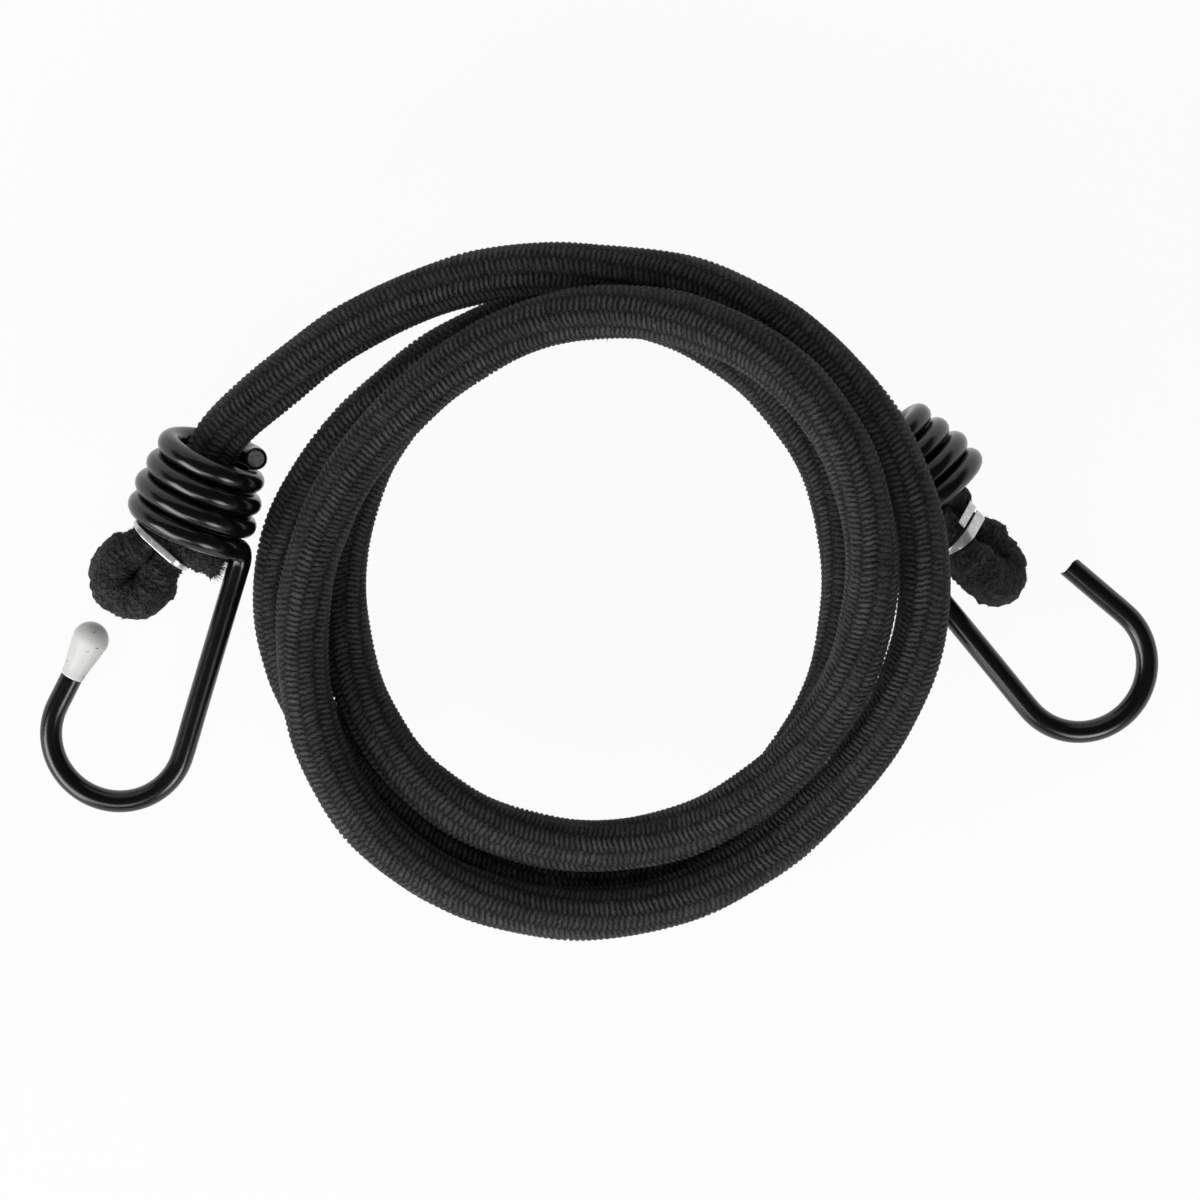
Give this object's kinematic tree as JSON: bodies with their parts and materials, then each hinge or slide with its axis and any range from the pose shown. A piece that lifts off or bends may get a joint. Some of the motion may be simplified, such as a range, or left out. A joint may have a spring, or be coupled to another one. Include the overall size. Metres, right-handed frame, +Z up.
{
  "type": "bungee cord",
  "caption": "Braided elastic cord laid in a ring, with a coated wire hook on a conical coil at each end, held by a clipped fold of the cord",
  "frame": {"origin": "middle of the whole object's footprint, on the surface that it lies on", "axes": "+X to the right across both hooks, +Y away over the ring, +Z up from the surface"},
  "size_m": [0.2034, 0.1241, 0.0426],
  "materials": {
    "jacket": "black braided polyester jacket",
    "core": "bundle of natural latex threads",
    "coating": "glossy black vinyl dip",
    "wire": "drawn steel wire",
    "clip": "bright zinc plate",
    "cap": "soft white vinyl"
  },
  "bodies": {
    "cord": {"ring_jacket": "jacket", "ring_core": "core", "left_tail_jacket": "jacket", "left_tail_core": "core", "right_tail_jacket": "jacket", "right_tail_core": "core"},
    "left_end": {"left_end_jacket": "jacket", "left_end_core": "core", "left_clip": "clip"},
    "left_hook": {"left_hook_coating": "coating", "left_hook_wire": "wire", "left_tip_cap": "cap"},
    "right_end": {"right_end_jacket": "jacket", "right_end_core": "core", "right_clip": "clip"},
    "right_hook": {"right_hook_coating": "coating", "right_hook_wire": "wire"}
  },
  "joints": [
    {"name": "left_stretch", "type": "slide", "parent": "cord", "child": "left_end", "axis": [-0.891, -0.454, 0], "range_m": [0, 0.05], "stiffness_N_per_m": 3000, "deforming": ["left_tail_jacket", "left_tail_core"]},
    {"name": "left_swivel", "type": "hinge", "parent": "left_end", "child": "left_hook", "pos_m": [-0.0743, 0.0118, 0.01183], "axis": [-0.3249, -0.9277, -0.184], "range_deg": [-100, 100]},
    {"name": "right_stretch", "type": "slide", "parent": "cord", "child": "right_end", "axis": [0.9205, -0.3907, 0], "range_m": [0, 0.05], "stiffness_N_per_m": 3000, "deforming": ["right_tail_jacket", "right_tail_core"]},
    {"name": "right_swivel", "type": "hinge", "parent": "right_end", "child": "right_hook", "pos_m": [0.0604, 0.0164, 0.01183], "axis": [0.6577, -0.7305, -0.184], "continuous": true}
  ]
}
